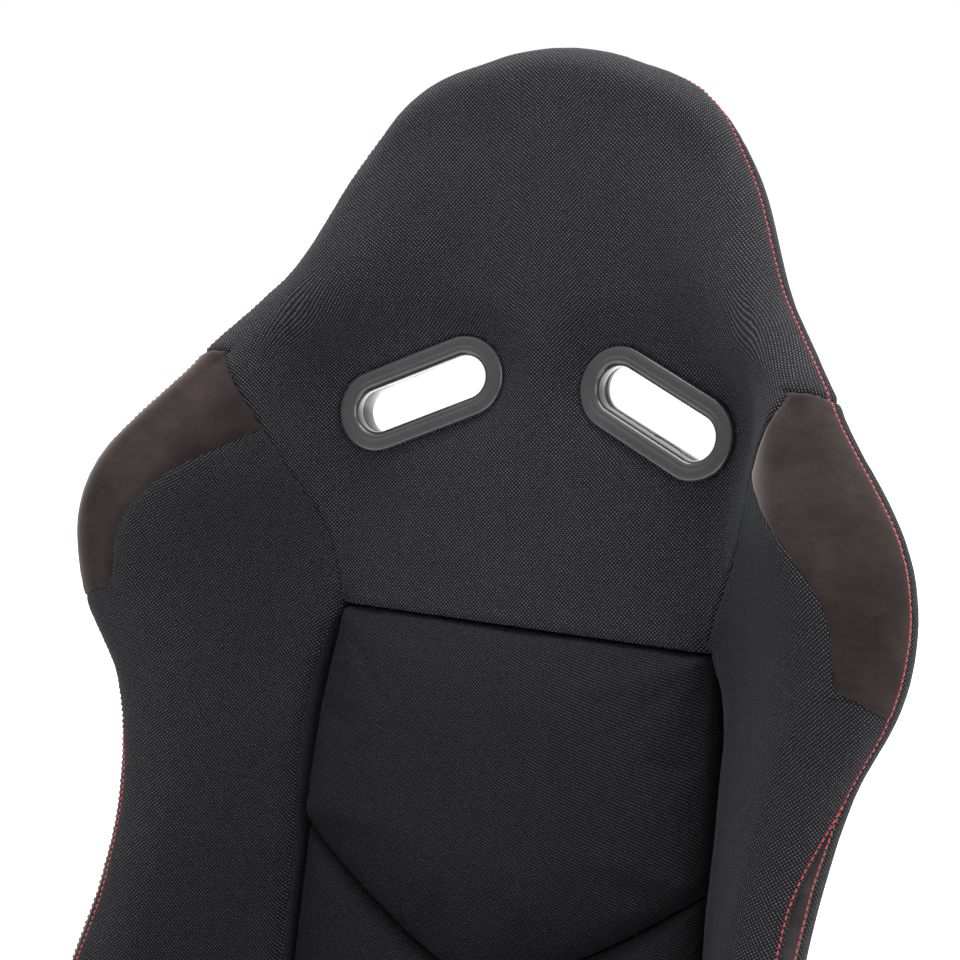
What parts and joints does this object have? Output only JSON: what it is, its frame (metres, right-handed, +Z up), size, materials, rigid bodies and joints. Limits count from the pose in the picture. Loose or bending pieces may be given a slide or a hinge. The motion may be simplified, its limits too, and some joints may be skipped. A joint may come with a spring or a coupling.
{
  "type": "reclining racing seat",
  "caption": "Fabric racing seat with deep side bolsters, two belt slots in the backrest, lever recliner and sliding floor rails.",
  "frame": {"origin": "centre of the four floor bolts, on the floor plane under the feet", "axes": "+X to the occupant's left, -Y the way the seat faces, +Z up"},
  "size_m": [0.5746, 0.6914, 0.8723],
  "materials": {
    "fabric": "black woven fabric over foam, suede-like patches on the shoulders, thin red topstitching",
    "cover": "black grained vinyl",
    "plastic": "dark grey satin plastic",
    "steel": "black powder coat",
    "zinc": "bright zinc plate"
  },
  "bodies": {
    "floor_rails": {"lower_rail_right": "steel", "lower_rail_left": "steel", "rail_feet": "steel"},
    "seat_base": {"upper_rail_right": "steel", "upper_rail_left": "steel", "rail_glides": "plastic", "pan_side_right": "steel", "pan_side_left": "steel", "front_cross_tube": "steel", "rear_cross_tube": "steel", "seat_springs": "zinc", "seat_cushion": "fabric", "thigh_bolster_right": "fabric", "thigh_bolster_left": "fabric", "base_bracket_right": "steel", "base_bracket_left": "steel", "recliner_housing_right": "zinc", "recliner_housing_left": "zinc", "side_shield_right": "plastic", "side_shield_left": "plastic", "return_spring": "zinc", "base_bolts": "zinc", "rail_bolts": "zinc", "release_bar_pivots": "zinc"},
    "backrest": {"back_frame": "steel", "back_bracket_right": "steel", "back_bracket_left": "steel", "recliner_gear_right": "zinc", "recliner_gear_left": "zinc", "back_springs": "zinc", "head_foam": "fabric", "shoulder_foam_right": "fabric", "shoulder_foam_left": "fabric", "back_bolster_right": "fabric", "back_bolster_left": "fabric", "back_cushion": "fabric", "lumbar_pad": "fabric", "rear_cover": "cover", "slot_tray": "cover", "front_bezel_right": "plastic", "front_bezel_left": "plastic", "rear_bezel_right": "plastic", "rear_bezel_left": "plastic", "back_bolts": "zinc"},
    "recline_lever": {"recline_lever": "plastic", "lever_grip": "plastic", "release_rod": "zinc", "recliner_cams": "zinc"},
    "slide_release": {"release_bar": "steel", "slide_latch_right": "zinc", "slide_latch_left": "zinc", "release_bar_grip": "plastic"}
  },
  "joints": [
    {"name": "seat_slide", "type": "slide", "parent": "floor_rails", "child": "seat_base", "axis": [0, 1, 0], "range_m": [-0.1, 0.1]},
    {"name": "recline", "type": "hinge", "parent": "seat_base", "child": "backrest", "pos_m": [0, 0.19, 0.15], "axis": [-1, 0, 0], "range_deg": [-20, 58]},
    {"name": "lever_pull", "type": "hinge", "parent": "seat_base", "child": "recline_lever", "pos_m": [0, 0.19, 0.15], "axis": [-1, 0, 0], "range_deg": [0, 30], "stiffness_Nm_per_rad": 1.5, "springref_deg": -14.32},
    {"name": "bar_lift", "type": "hinge", "parent": "seat_base", "child": "slide_release", "pos_m": [0, -0.11, 0.036], "axis": [-1, 0, 0], "range_deg": [0, 8], "stiffness_Nm_per_rad": 8, "springref_deg": -11.46}
  ]
}
